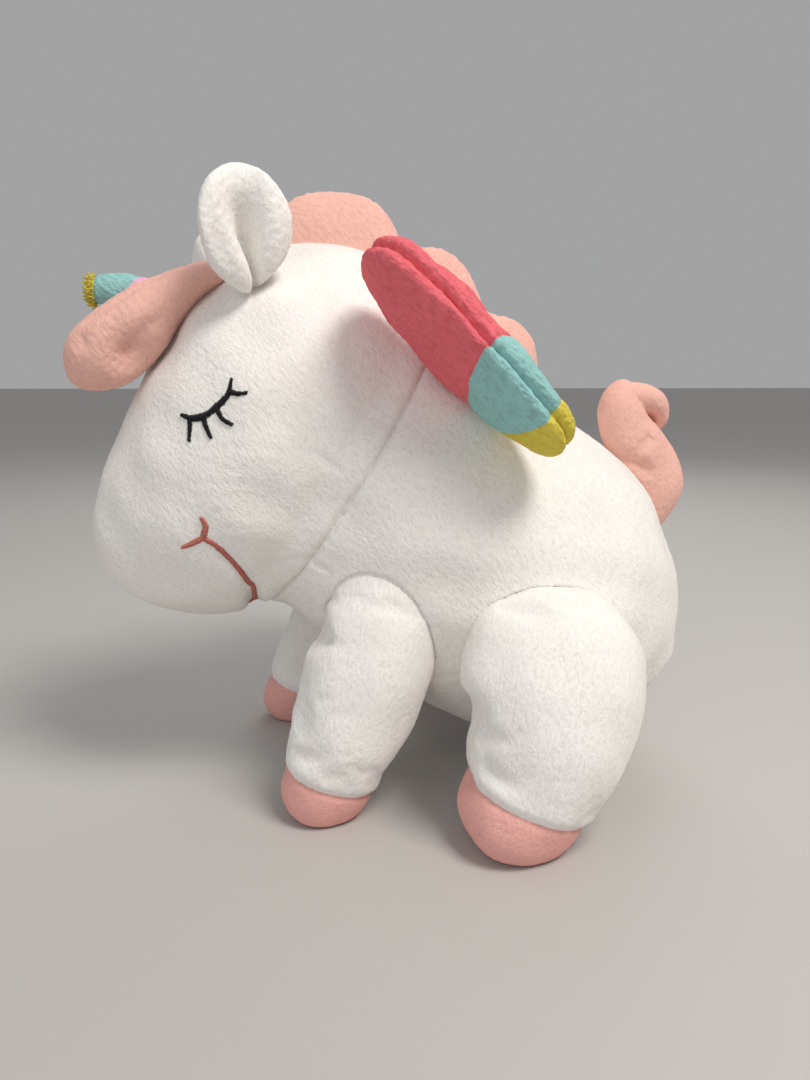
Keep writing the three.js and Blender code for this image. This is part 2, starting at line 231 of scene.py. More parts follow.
def rings_form(name, first, rings, last):
    """A closed surface through rings of points, from one pole to the other."""
    count, around = len(rings), len(rings[0])
    points = np.vstack([[first], np.reshape(rings, (-1, 3)), [last]]) * MM
    end = count * around + 1
    faces = []
    for k in range(around):
        n = (k + 1) % around
        faces.append((0, 1 + n, 1 + k))
        faces.append((end, end - around + k, end - around + n))
        for r in range(count - 1):
            low, high = 1 + r * around, 1 + (r + 1) * around
            faces.append((low + k, low + n, high + n, high + k))
    mesh = bpy.data.meshes.new(name)
    mesh.from_pydata(points.tolist(), [], faces)
    bm = bmesh.new()
    bm.from_mesh(mesh)
    bpy.data.meshes.remove(mesh)
    bmesh.ops.recalc_face_normals(bm, faces=bm.faces)
    return made(name, bm)


def stuffed(name, spine, radii, blunt, around=56, along=60):
    """A stuffed tube with round ends. Each station on its spine has a half width across x and a half height."""
    y = np.cos(np.linspace(0, math.pi, along + 1)[1:-1])
    t = (1 - y) / 2
    reach = np.maximum(0, 1 - np.abs(y) ** blunt) ** (1 / blunt)
    inner = np.clip(t, 0.012, 0.988)
    ahead = unit(curve_at(spine, inner + 0.01) - curve_at(spine, inner - 0.01))
    height = unit(np.cross(ahead, (1, 0, 0)))
    across = np.cross(height, ahead)
    wide, high = (reach * curve_at([(*r, 0) for r in radii], t)[:, k] for k in (0, 1))
    turn = np.linspace(0, 2 * math.pi, around, endpoint=False)
    line = curve_at(spine, t)
    rings = [
        line[i] + across[i] * wide[i] * np.cos(turn)[:, None] + height[i] * high[i] * np.sin(turn)[:, None]
        for i in range(len(t))
    ]
    return rings_form(name, spine[0], rings, spine[-1])


def pad(name, outline, centre, thick, origin, axes, shape=None, around=120, rings=22):
    """A flat pad sewn round its outline, in a frame of its own: across, along and out of it."""
    closed = [outline[-1], *outline, outline[0], outline[1]]
    steps = np.arange(around) / around * len(outline)
    edge = curve_at(closed, (steps + 1) / (len(closed) - 1))
    centre = np.array(centre, float)
    levels = np.cos(np.linspace(0, math.pi, 2 * rings + 1)[1:-1])
    laid = []
    for level in levels:
        reach = math.sqrt(1 - level**2)
        out = np.full((around, 1), math.copysign(np.cbrt(1 - reach**3), level) * thick)
        laid.append(np.hstack([centre + (edge - centre) * reach, out]))
    flat = np.vstack([[[*centre, thick]], *laid, [[*centre, -thick]]])
    if shape:
        flat = shape(*flat.T)
    points = origin + flat @ axes
    return rings_form(name, points[0], points[1:-1].reshape(len(levels), around, 3), points[-1])


def mirrored_copy(obj, name, place=lambda co: co * (-1, 1, 1)):
    twin = link(name, obj.data.copy())
    move_to(twin, place(vertices(twin)))
    twin.data.flip_normals()
    return twin


def joined(name, *objs):
    bm = bmesh.new()
    for o in objs:
        bm.from_mesh(o.data)
        bpy.data.objects.remove(o)
    return made(name, bm)


def soften(obj, voxel, rounds):
    """An even surface of quads, smoothed."""
    remesh = obj.modifiers.new("remesh", "REMESH")
    remesh.mode, remesh.voxel_size, remesh.use_smooth_shade = "VOXEL", voxel * MM, True
    bake(obj)
    smooth = obj.modifiers.new("smooth", "SMOOTH")
    smooth.factor, smooth.iterations = 0.5, rounds
    bake(obj)


def smooth_where(obj, weight, rounds):
    group = weighted(obj, weight, 0.01)
    smooth = obj.modifiers.new("smooth", "SMOOTH")
    smooth.factor, smooth.iterations, smooth.vertex_group = 0.5, rounds, group
    bake(obj)
    obj.vertex_groups.clear()


def inflate(obj, held, pressure=16.0, slack=0.012, cap=2.2, frames=20):
    """Swells a form as its filling does, with Cloth, in fabric with some slack that is held at its seams."""
    before = vertices(obj)
    group = weighted(obj, held, 0.02)
    settings = obj.modifiers.new("cloth", "CLOTH").settings
    settings.quality = 6
    settings.vertex_group_mass = group
    settings.use_pressure = True
    settings.uniform_pressure_force = pressure
    settings.shrink_min = -slack
    settings.tension_stiffness = settings.compression_stiffness = 25
    settings.bending_stiffness = 0.6
    settings.effector_weights.gravity = 0
    for number in range(1, frames + 1):
        bpy.context.scene.frame_set(number)
    bake(obj)
    bpy.context.scene.frame_set(1)
    obj.vertex_groups.clear()
    move = vertices(obj) - before
    far = np.maximum(np.linalg.norm(move, axis=1), 1e-6)
    move_to(obj, before + move * np.minimum(1, cap / far)[:, None])


def refine(obj, levels):
    sub = obj.modifiers.new("sub", "SUBSURF")
    sub.levels = sub.render_levels = levels
    bake(obj)
    obj.data.shade_smooth()


# ------------------------------------------------------------------ seams, folds and pile


def push(obj, amount):
    """Moves each vertex along its normal by amount."""
    move_to(obj, vertices(obj) + normals(obj) * np.asarray(amount)[:, None])


def crease(obj, points, depth, width, ends=(0.15, 0.15), rise=0.0):
    """Sinks the surface along a curve, fading out at its ends, with a soft rise beside it."""
    d, at = to_line(vertices(obj), points, width * 4)
    fade = smooth_step(np.clip(at / ends[0], 0, 1) * np.clip((1 - at) / ends[1], 0, 1))
    amount = -depth * bump(d, width) + rise * (bump(d, width * 2.6) - bump(d, width * 1.3))
    push(obj, np.where(np.isfinite(d), amount * fade, 0))


def seam_at(obj, d, depth, width, pucker, pitch=6.0, keep=1.0):
    """Sinks the surface where a signed distance d passes 0, with puckers across it."""
    wave = lumps(vertices(obj), pitch / 2, 3)
    push(obj, (-depth * bump(d, width) + pucker * wave * bump(d, width * 2.5)) * keep)


def dent(obj, at, radius, depth):
    push(obj, -depth * bump(np.linalg.norm(vertices(obj) - np.array(at), axis=1), radius))


def tree_of(*objs):
    bm = bmesh.new()
    for o in objs:
        bm.from_mesh(o.data)
    tree = BVHTree.FromBMesh(bm)
    bm.free()
    return tree


def tuck(obj, others, depth, width):
    """Sinks obj where it meets others, as a seam pulls it in."""
    tree, co = tree_of(*others), vertices(obj)
    amount = np.zeros(len(co))
    for i, p in enumerate(co):
        at, normal, _, d = tree.find_nearest(Vector(p) * MM, width * 3 * MM)
        if at is not None:
            inside = (Vector(p) * MM - at).dot(normal) < 0
            amount[i] = -depth if inside else -depth * math.exp(-((d / MM / width) ** 2))
    push(obj, amount)


def ease(leg, torso, reach=16, by=0.5):
    """Draws a leg's root in towards the torso, so that they meet at a slant as two sewn panels do."""
    tree, co = tree_of(torso), vertices(leg)
    inward = np.zeros_like(co)
    for i, p in enumerate(co):
        at, normal, _, d = tree.find_nearest(Vector(p) * MM, reach * MM)
        if at is not None and (Vector(p) * MM - at).dot(normal) > 0:
            d /= MM
            inward[i] = np.array(normal) * -d * by * (1 - d / reach) ** 2
    move_to(leg, co + inward)


def meet(torso, leg, rise, width):
    """Raises the torso towards a leg's root."""
    tree, co = tree_of(leg), vertices(torso)
    amount = np.zeros(len(co))
    near = np.flatnonzero(np.linalg.norm(co - vertices(leg).mean(0), axis=1) < 75)
    for i in near:
        at, normal, _, d = tree.find_nearest(Vector(co[i]) * MM, width * 3 * MM)
        if at is not None and (Vector(co[i]) * MM - at).dot(normal) > 0:
            amount[i] = rise * math.exp(-d / MM / width)
    push(torso, amount)


def pile(obj, seed, size):
    """The fine unevenness of pressed pile, and the soft lumps of the filling under it."""
    co = vertices(obj)
    push(obj, 0.35 * lumps(co, 14, seed) + size * lumps(co, 1.6, seed + 1, 28))


def above_floor(obj):
    """Rounds what would reach below the floor into a flat sole just above it."""
    co, sharpness = vertices(obj), 1.6
    low = co[:, 2] < 4
    co[low, 2] = FLOOR_CLEARANCE + np.log1p(np.exp((co[low, 2] - FLOOR_CLEARANCE) * sharpness)) / sharpness
    co[:, 2] = np.maximum(co[:, 2], FLOOR_CLEARANCE)
    move_to(obj, co)


def cut(obj, name, plane):
    """Takes what lies beyond a plane off obj, as a new object."""
    point, normal = plane
    taken = link(name, obj.data.copy())
    for o, side in ((obj, "clear_outer"), (taken, "clear_inner")):
        bm = bmesh.new()
        bm.from_mesh(o.data)
        everything = bm.verts[:] + bm.edges[:] + bm.faces[:]
        bmesh.ops.bisect_plane(
            bm, geom=everything, plane_co=Vector(point) * MM, plane_no=Vector(normal), **{side: True}
        )
        bm.to_mesh(o.data)
        bm.free()
        o.data.shade_smooth()
    return taken


def add_tube(bm, points, radius, sides=5):
    """A thread through points, closed at both ends."""
    p = np.array(points, float)
    rings = []
    for i, q in enumerate(p):
        ahead = p[min(i + 1, len(p) - 1)] - p[max(i - 1, 0)]
        ahead /= np.linalg.norm(ahead) + 1e-9
        a = np.cross(ahead, (0.31, 0.52, 0.79))
        a /= np.linalg.norm(a)
        b = np.cross(ahead, a)
        r = radius * (0.55 if i in (0, len(p) - 1) else 1.0)
        turn = np.linspace(0, 2 * math.pi, sides, endpoint=False)
        rings.append([bm.verts.new((q + r * (math.cos(t) * a + math.sin(t) * b)) * MM) for t in turn])
    for r0, r1 in zip(rings, rings[1:]):
        for k in range(sides):
            bm.faces.new((r0[k], r0[(k + 1) % sides], r1[(k + 1) % sides], r1[k]))
    bm.faces.new(rings[0][::-1])
    bm.faces.new(rings[-1])


def tuft(obj, end, radius, ends=150):
    """Short loose yarn ends standing out of the far end of a piece that points along -Y."""
    rng = np.random.default_rng(7)
    golden_angle = 2.399963
    bm = bmesh.new()
    bm.from_mesh(obj.data)
    for k in range(ends):
        turn, out = k * golden_angle, radius * math.sqrt((k + 0.5) / ends)
        beside = np.array((math.cos(turn), 0, math.sin(turn))) * out
        root = np.array(end) + beside + (0, 2.6 * (out / radius) ** 2 + 1.5, 0)
        ahead = unit(np.array((0, -1, 0)) + beside / radius * 0.3 + rng.normal(0, 0.2, 3))
        length = rng.uniform(1.8, 3.2)
        curl = rng.normal(0, 0.3, 3)
        add_tube(bm, [root + ahead * length * f + curl * f * f for f in (0, 0.35, 0.7, 1)], 0.3, 4)
    bmesh.ops.recalc_face_normals(bm, faces=bm.faces)
    bm.to_mesh(obj.data)
    bm.free()
    obj.data.shade_smooth()


# ------------------------------------------------------------------ materials


class Graph:
    """A procedural material being built."""

    def __init__(self, name):
        self.material = bpy.data.materials.new(name)
        self.material.use_nodes = True
        self.tree = self.material.node_tree
        self.shader = self.tree.nodes["Principled BSDF"]
        self.position = self.node("ShaderNodeTexCoord").outputs["Object"]

    def node(self, kind, **sockets):
        n = self.tree.nodes.new(kind)
        for key, value in sockets.items():
            self.put(n.inputs[key], value)
        return n

    def put(self, socket, value):
        if isinstance(value, bpy.types.NodeSocket):
            self.tree.links.new(value, socket)
        else:
            socket.default_value = value

    def maths(self, op, a, b):
        n = self.tree.nodes.new("ShaderNodeMath")
        n.operation = op
        self.put(n.inputs[0], a)
        self.put(n.inputs[1], b)
        return n.outputs[0]

    def vector_maths(self, op, a, b=None, scale=None):
        n = self.tree.nodes.new("ShaderNodeVectorMath")
        n.operation = op
        self.put(n.inputs[0], a)
        if b is not None:
            self.put(n.inputs[1], b)
        if scale is not None:
            n.inputs["Scale"].default_value = scale
        return n.outputs["Value" if op == "DOT_PRODUCT" else "Vector"]

    def noise(self, vector, scale, detail=2.0, rough=0.5):
        n = self.node("ShaderNodeTexNoise", Vector=vector, Scale=scale, Detail=detail, Roughness=rough)
        return n.outputs["Fac"]

    def ramp(self, factor, stops):
        n = self.tree.nodes.new("ShaderNodeValToRGB")
        self.put(n.inputs[0], factor)
        while len(n.color_ramp.elements) < len(stops):
            n.color_ramp.elements.new(0.5)
        for element, (at, colour) in zip(n.color_ramp.elements, stops):
            element.position, element.color = at, (*colour, 1)
        return n.outputs[0]

    def mix(self, factor, a, b):
        """From a, a socket, to b, a colour."""
        n = self.tree.nodes.new("ShaderNodeMix")
        n.data_type = "RGBA"
        self.put(n.inputs[0], factor)
        self.put(n.inputs[6], a)
        self.put(n.inputs[7], (*b, 1))
        return n.outputs[2]

    def finish(self, colour, height, strength, distance, **settings):
        bumped = self.node("ShaderNodeBump", Strength=strength, Distance=distance, Height=height)
        self.put(self.shader.inputs["Base Color"], colour)
        self.put(self.shader.inputs["Normal"], bumped.outputs[0])
        for key, value in settings.items():
            self.shader.inputs[key.replace("_", " ")].default_value = value
        return self.material


def shaded(colour, by):
    return tuple(max(0.0, min(1.0, c * k)) for c, k in zip(colour, by))


def plush(name, colour, nap, strong=1.0, long=1.0):
    """Short pile lying along nap: streaky tufts, a soft sheen, and slow changes of tone."""
    g = Graph(name)
    down = Vector(nap).normalized()
    across = down.orthogonal().normalized()
    squeezed = (across, down.cross(across), down * 0.5)
    x, y, z = (g.vector_maths("DOT_PRODUCT", g.position, axis) for axis in squeezed)
    laid = g.node("ShaderNodeCombineXYZ", X=x, Y=y, Z=z).outputs[0]
    wobble = g.node("ShaderNodeTexNoise", Vector=g.position, Scale=55.0, Detail=1.0).outputs["Color"]
    bent = g.vector_maths("ADD", laid, g.vector_maths("SCALE", wobble, scale=0.004))
    tufts = g.noise(bent, 1500.0 / long, 2.0, 0.6)
    clumps = g.noise(bent, 760.0 / long, 1.5, 0.5)
    patches = g.noise(g.position, 42.0, 2.0, 0.5)
    dark = shaded(colour, [1 + strong * k for k in (-0.11, -0.125, -0.135)])
    light = shaded(colour, [1 + strong * 0.05] * 3)
    tone = g.maths("ADD", g.maths("MULTIPLY", tufts, 0.6), g.maths("MULTIPLY", clumps, 0.4))
    fibre = g.ramp(tone, [(0.36, dark), (0.5, colour), (0.66, light)])
    where_worn = g.ramp(patches, [(0.35, (0, 0, 0)), (0.7, (0.5, 0.5, 0.5))])
    worn = g.mix(where_worn, fibre, shaded(colour, (0.95, 0.94, 0.925)))
    height = g.maths("ADD", g.maths("MULTIPLY", tufts, 0.7), g.maths("MULTIPLY", clumps, 0.8))
    return g.finish(
        worn, height, 0.6 * strong, 0.0006 * long, Roughness=0.92, Specular_IOR_Level=0.18, Sheen_Weight=0.35,
        Sheen_Roughness=0.45, Sheen_Tint=(*shaded(colour, (1.05, 1.03, 1.02)), 1),
    )


def thread(name, colour, light):
    """Fine twisted strands of embroidery thread."""
    g = Graph(name)
    strands = g.noise(g.position, 2600.0, 2.0, 0.6)
    tone = g.ramp(strands, [(0.35, colour), (0.68, light)])
    return g.finish(tone, strands, 0.5, 0.0002, Roughness=0.55, Specular_IOR_Level=0.25)


WING_PILE = {"nap": (0.1, 0.75, -0.65), "strong": 1.6, "long": 1.9}
WHITE = plush("white_plush", (0.90, 0.875, 0.84), nap=(0.2, 0.55, -0.8))
WHITE_LEG = plush("white_leg_plush", (0.90, 0.88, 0.85), nap=(0.1, -0.25, -0.95))
PEACH = plush("peach_plush", (0.84, 0.49, 0.415), nap=(0.1, 0.5, -0.85))
HOOF = plush("hoof_plush", (0.83, 0.43, 0.385), nap=(0.9, 0.3, -0.2))
PINK = plush("pink_plush", (0.80, 0.16, 0.19), **WING_PILE)
TEAL = plush("teal_plush", (0.30, 0.56, 0.55), **WING_PILE)
YELLOW = plush("yellow_plush", (0.68, 0.56, 0.085), **WING_PILE)
HORN_PINK = plush("horn_pink_plush", (0.82, 0.42, 0.56), nap=(0, -1, 0.1))
BLACK = thread("black_thread", (0.003, 0.003, 0.004), (0.016, 0.016, 0.019))
ROSE = thread("rose_thread", (0.42, 0.11, 0.09), (0.66, 0.24, 0.19))

# ------------------------------------------------------------------ the stuffed forms, sized as in the part

SHIFT = np.array((0, -3.08, 0))  # from the part's drawing to its centred frame


def spot(x, y, z):
    return np.array((x, y, z), float) + SHIFT


def placed(points):
    return [tuple(spot(*p)) for p in points]


NECK = (spot(0, -20, 137), unit((0, -0.85, 0.527)))
trunk = solid_of("torso_cover", ["head_filling", "torso_filling"], 3.3)
soften(trunk, 3.2, 11)
smooth_where(trunk, bump(beyond(trunk, NECK), 9), 16)
inflate(trunk, bump(beyond(trunk, NECK), 3), pressure=12, slack=0.006, cap=1.6)
soften(trunk, 2.1, 2)
x, y, z = vertices(trunk).T
full_back = bump(x, 42) * ramped(y, 20, 60) * (1 - ramped(y, 98, 128)) * ramped(z, 95, 125)
push(trunk, 4.5 * full_back)

LEGS = {
    "front": stuffed(
        "left_front_leg_cover",
        placed([(51, -13, 105), (50, -16, 76), (50, -22.5, 50), (51, -32.5, 24), (51, -39.5, -3.5)]),
        [(18, 22), (21, 24.5), (21, 24.5), (20, 21.5), (19.5, 20.5)],
        blunt=2.6,
    ),
    "hind": stuffed(
        "left_hind_leg_cover",
        placed([(66, 47, 93), (73, 46, 70), (79, 44.5, 48), (83, 36.5, 24), (85, 25.5, -3.5)]),
        [(22, 33), (27, 35), (27, 32.5), (25, 27), (23, 23.5)],
        blunt=2.8,
    ),
}
HOOF_SEAMS = {
    "front": (spot(50, -39, 17), np.array((0, 0.33, 0.944))),
    "hind": (spot(84, 30, 20), np.array((0, 0.4, 0.917))),
}
INNER_SIDE = {"front": 30, "hind": 48}  # where a leg lies against the belly
for end, leg in LEGS.items():
    soften(leg, 2.6, 8)
    x, _, z = vertices(leg).T
    seam = bump(beyond(leg, HOOF_SEAMS[end]), 2.2)
    root, inner = ramped(z, 88, 96), 1 - ramped(x, INNER_SIDE[end], INNER_SIDE[end] + 6)
    inflate(leg, np.maximum.reduce([seam, root, inner]))

WING_AT = spot(52, 13.4, 171.6)
WING_CHORD = unit((0.046, 0.705, -0.708))
WING_OUT = unit(np.cross(WING_CHORD, (0.984, 0.091, 0.154)))
WING_AXES = np.array([WING_CHORD, np.cross(WING_OUT, WING_CHORD), WING_OUT])
WING_EDGE = (WING_AT, WING_OUT)
WING_OUTLINE = [(43, 24), (40, 34), (30, 40), (11, 42), (-8, 43), (-27, 43), (-44, 38), (-51, 24),
                (-47, 8), (-31, 1), (-10, -2), (9, 0), (27, 6), (39, 14)]
wing = pad("left_wing_cover", WING_OUTLINE, (-2, 21), 9.4, WING_AT, WING_AXES)
soften(wing, 1.9, 7)
inflate(wing, bump(beyond(wing, WING_EDGE), 1.6), pressure=14, slack=0.015, cap=1.6)

EAR_AT = spot(43, -59, 197)
EAR_UP = unit((0.12, -0.12, 0.98))
EAR_OUT = unit(np.cross((-0.3, 0.949, 0.1), EAR_UP))
EAR_AXES = np.array([np.cross(EAR_UP, EAR_OUT), EAR_UP, EAR_OUT])
EAR_OUTLINE = [(15.6, 26), (11.2, 38.5), (0, 44.5), (-11.6, 38.5), (-16.6, 26), (-13.5, 11), (-2, 1.5),
               (10.5, 10)]


def ear_fold(a, b, t):
    """An ear's front is drawn in to a fold that narrows and deepens towards its root."""
    middle = 1.8 * (1 - ramped(b, 4, 30)) - 0.6
    width = 1.3 + 3.6 * ramped(b, 4, 32)
    depth = 9.5 * (1 - ramped(b, 17, 39))
    share = 0.6 + 0.4 * ramped(t, -3.5, 3)
    basin = np.exp(-np.minimum(np.abs((a - middle) / width) ** 2.6, 50))
    t = t + a * a / 45 - depth * basin * share
    t = t + 1.8 * bump(np.abs(a - middle) - width - 4.2, 3.6) * ramped(b, 0, 12) * share
    a = middle + (a - middle) * (1 - 0.2 * (1 - ramped(b, 2, 14)))
    return np.stack([a, b, t], 1)


ear = pad("left_ear_cover", EAR_OUTLINE, (0, 24), 5.6, EAR_AT, EAR_AXES, ear_fold)
soften(ear, 0.8, 4)

horn = stuffed(
    "horn_cover",
    placed([(0, -70, 191), (0, -84, 196), (0, -98, 199.5), (0, -111, 202), (0, -124.5, 203.3)]),
    [(12, 12), (11, 11), (8.8, 8.8), (7.4, 7.4), (6.6, 6.6)],
    blunt=3.4,
)
soften(horn, 0.9, 4)

forelock = stuffed(
    "forelock_soft_cover",
    placed([(23, -64, 210.5), (25, -80, 205), (26, -92, 196.5), (27, -103, 186.5), (27, -115, 177),
            (27, -125.5, 167.5)]),
    [(10, 6.5), (13, 7.5), (15, 9), (16, 13), (16, 15.5), (13, 13)],
    blunt=2.3,
)
soften(forelock, 1.9, 4)
inflate(forelock, ramped(vertices(forelock)[:, 1], -90, -78), pressure=14, slack=0.02, cap=1.8)

# The mane's stations: y, z and half height.
MANE = [(-54, 212, 12), (-42, 216, 23), (-28, 217.5, 27), (-14, 214.5, 24), (-4, 210.5, 14.5), (6, 204.5, 21),
        (16, 197, 22), (28, 187, 14.5), (38, 179, 20.5), (48, 171, 19.5), (57, 164.5, 12)]
MANE_THICK = 10
mane = stuffed(
    "mane_cover", placed([(0, y, z) for y, z, _ in MANE]), [(MANE_THICK, h) for *_, h in MANE],
    blunt=5.0, along=120,
)
soften(mane, 1.9, 4)
inflate(mane, bump(vertices(mane)[:, 0], 1.6), pressure=12, slack=0.012, cap=1.4)

tail_root = stuffed(
    "tail_root",
    placed([(0, 104, 99), (0, 114, 111), (0, 117, 124), (0, 110.5, 136), (0, 102.5, 147), (0, 99.5, 158),
            (0, 102, 169)]),
    [(9, 13), (10, 14.5), (10, 14.8), (10, 13.5), (10, 12), (10, 11.5), (9, 10)],
    blunt=2.3,
)
tail_curl = stuffed(
    "tail_curl",
    placed([(0, 97, 161), (-1, 107, 162), (-2, 115.5, 159.5), (-3, 120, 154), (-3, 120.5, 147)]),
    [(7, 7), (8, 7), (8, 6), (7, 5.2), (6, 4.5)],
    blunt=2.2,
)
tail = joined("tail_soft_cover", tail_root, tail_curl)
soften(tail, 0.9, 4)

for form in (trunk, *LEGS.values(), ear, horn, tail):
    refine(form, 1)
for form in (wing, forelock, mane):
    refine(form, 2)

# ------------------------------------------------------------------ where the forms meet


def forward(co):
    """The right front leg stands further forward than the left one, most of all at its hoof."""
    return co * (-1, 1, 1) - np.outer(9.5 * ramped(76 - co[:, 2], -4, 88) ** 1.2, (0, 1, 0))


def opposite(end):
    return forward if end == "front" else lambda co: co * (-1, 1, 1)


for leg in LEGS.values():
    ease(leg, trunk)
for end, leg in LEGS.items():
    right_leg = mirrored_copy(leg, "right_leg", opposite(end))
    for each in (leg, right_leg):
        meet(trunk, each, 1.1, 6)
    bpy.data.objects.remove(right_leg)

# ------------------------------------------------------------------ seams and creases


def mirrored(points):
    return [(-x, y, z) for x, y, z in points]


def both_sides(points):
    return points, mirrored(points)


MOUTH = [(49.1, -82.4, 112.6), (48.9, -78.7, 109.7), (47.3, -74.8, 104.9), (43.1, -70.4, 98.1),
         (37.9, -67.7, 92.2), (33.7, -66.1, 88.5), (22, -66.3, 80), (0, -66.8, 74)]
CHEEK = [(58.9, -46.7, 144.7), (58.3, -42.6, 142.9), (57.3, -36.7, 139.1), (54.5, -30, 135)]
CHEST = [(46.5, -55, 101), (49, -47.5, 103.5), (51.5, -40.5, 100.5), (52, -35, 98)]
GUSSET_TOP = [(48, 3, 62), (49, 4.5, 56.5), (52, 8.5, 56.8), (55, 13, 57.2)]
GUSSET_END = [(46.5, 3, 55), (42, 3.6, 48), (28, 5.8, 36.7)]
MANE_FRONT_FOLD = placed([(5, -5, 225), (9, -5, 218), (9.5, -6, 210)])
MANE_BACK_FOLD = placed([(5, 30, 199), (9, 28, 193), (9.5, 26, 186)])
# Creases on both sides: the form, the line, its depth and width, its fading ends, and the rise beside it.
PAIRED_CREASES = [
    (trunk, MOUTH, 1.2, 2.6, (0.25, 0.01), 0.6),
    (trunk, MOUTH[3:], 2.6, 4.5, (0.6, 0.01), 0.8),
    (trunk, CHEEK, 1.9, 1.9, (0.5, 0.05), 0.7),
    (trunk, CHEST, 0.9, 1.2, (0.2, 0.1), 0.2),
    (trunk, GUSSET_TOP, 2.0, 1.6, (0.1, 0.1), 0.8),
    (trunk, GUSSET_END, 1.8, 1.5, (0.1, 0.2), 0.5),
    (mane, MANE_FRONT_FOLD, 1.2, 2.2, (0.1, 0.6), 0.3),
    (mane, MANE_BACK_FOLD, 1.2, 2.2, (0.1, 0.6), 0.3),
]
seam_at(mane, vertices(mane)[:, 0], 0.9, 1.1, pucker=0.2, pitch=4)
for form, points, depth, width, ends, rise in PAIRED_CREASES:
    for line in both_sides(points):
        crease(form, line, depth, width, ends, rise)

seam_at(trunk, beyond(trunk, NECK), 1.9, 0.85, pucker=0.08)
neck = beyond(trunk, NECK)
push(trunk, 1.1 * bump(neck - 5, 4.5) + 0.1 * bump(neck + 5, 4))
x, _, z = vertices(trunk).T
seam_at(trunk, x, 0.7, 0.9, pucker=0.1, keep=np.clip((z - 60) / 10, 0, 1))

# Dents in a leg's filling (place, radius, depth; a negative depth is a bulge) and folds that fade out behind.
LEG_DENTS = {
    "front": [((51, -41, 72), 6, 2.0), ((58, -40, 72), 5, 1.2), ((60, -49, 45), 5, 0.8)],
    "hind": [((80, 8, 50), 6, 3.0), ((90, 13, 47), 6, 1.2), ((86, 5, 66), 9, -1.2), ((84, 6, 37), 6, -1.2),
             ((80, 6, 28), 7, 4.0)],
}
LEG_FOLDS = {
    "front": [[(54, -43, 76), (61, -38, 74), (67, -28, 72)], [(58, -52, 31), (66, -46, 30), (70, -38, 31)]],
    "hind": [[(84, 11, 50), (93, 14, 48), (101, 22, 49)], [(91, 12, 38), (99, 17, 34), (104, 26, 32)]],
}
# The deep tuck across the front of a leg: its line and its depth.
LEG_TUCKS = {
    "front": ([(34, -45, 73), (45, -43.5, 75), (54, -40, 76), (63, -34, 75)], 2.6),
    "hind": ([(62, 10, 46), (74, 7.5, 50), (85, 8.5, 52.5), (96, 14, 53)], 4.6),
}
for end, leg in LEGS.items():
    for at, radius, depth in LEG_DENTS[end]:
        dent(leg, at, radius, depth)
    for fold in LEG_FOLDS[end]:
        crease(leg, fold, 1.3, 2.8, ends=(0.1, 0.7), rise=0.5)
    line, depth = LEG_TUCKS[end]
    crease(leg, line, depth, 5.5, ends=(0.3, 0.3), rise=0.8)
    above_seam = beyond(leg, HOOF_SEAMS[end])
    toe = np.clip((HOOF_SEAMS[end][0][1] - vertices(leg)[:, 1]) / 18 + 0.3, 0, 1)
    push(leg, (0.8 + 2.8 * toe) * bump(above_seam + 12, 9) + 0.4 * bump(above_seam - 4, 3))
    seam_at(leg, beyond(leg, HOOF_SEAMS[end]), 1.3, 1.2, pucker=0.12, pitch=5)

seam_at(wing, beyond(wing, WING_EDGE) - 0.4, 2.1, 1.25, pucker=0.06, pitch=5)
edge = beyond(wing, WING_EDGE)
push(wing, 0.5 * bump(edge - 4, 2.5) + 0.5 * bump(edge + 4, 2.5))

dent(forelock, (41, -105, 177), 8, 6.5)
dent(forelock, (38, -121, 181), 3, 1.8)
FORELOCK_HOLLOW = placed([(38, -90, 193), (41, -98, 184), (40, -103, 170)])
FORELOCK_SEAM = placed([(36, -120, 186), (37, -108, 193), (35, -96, 201), (31, -84, 207)])
crease(forelock, FORELOCK_HOLLOW, 1.2, 3.0, ends=(0.3, 0.3), rise=0.4)
crease(forelock, FORELOCK_SEAM, 1.4, 1.8, rise=0.6)
TAIL_BEND = placed([(9, 112, 145), (10, 105, 138), (10, 99, 131)])
TAIL_FOLD = [(8, 92, 134), (10.5, 99, 132.5), (11, 105, 130), (10, 112, 125)]
crease(tail, TAIL_BEND, 1.0, 3.0, ends=(0.1, 0.8), rise=0.4)
crease(tail, TAIL_FOLD, 3.2, 3.2, ends=(0.1, 0.5), rise=0.8)

# Where one colour gives way to the next, as planes whose normals point towards the tip.
WING_TEAL = (spot(87.7, 14.1, 174.7), unit((0.435, 0.62, -0.652)))
WING_YELLOW = (spot(85.2, 32.6, 154.5), unit((-0.15, 0.775, -0.613)))
HORN_TEAL = (spot(0, -106.5, 205), unit((0, -0.78, 0.62)))
HORN_YELLOW = (spot(0, -121, 203), np.array((0, -0.995, 0.0995)))
for form, planes in ((wing, (WING_TEAL, WING_YELLOW)), (horn, (HORN_TEAL, HORN_YELLOW))):
    for plane in planes:
        seam_at(form, beyond(form, plane), 0.5, 0.8, pucker=0.06, pitch=4)

LEAN = math.radians(20)


def leaned(co):
    """The right ear: the left one's mirror image, folded forward."""
    x, y, z = ((co - EAR_AT) * (-1, 1, 1)).T
    turned = np.stack([x, y * math.cos(LEAN) - z * math.sin(LEAN), y * math.sin(LEAN) + z * math.cos(LEAN)], 1)
    return turned + EAR_AT * (-1, 1, 1) + (0, -3, -2)


right_ear = mirrored_copy(ear, "right_ear_cover", leaned)
wing_twin = mirrored_copy(wing, "wing_twin")
tuck(trunk, [ear, right_ear], 1.2, 2.0)
for others in ([mane, forelock], [tail], [wing, wing_twin]):
    tuck(trunk, others, 1.0, 1.8)
bpy.data.objects.remove(wing_twin)

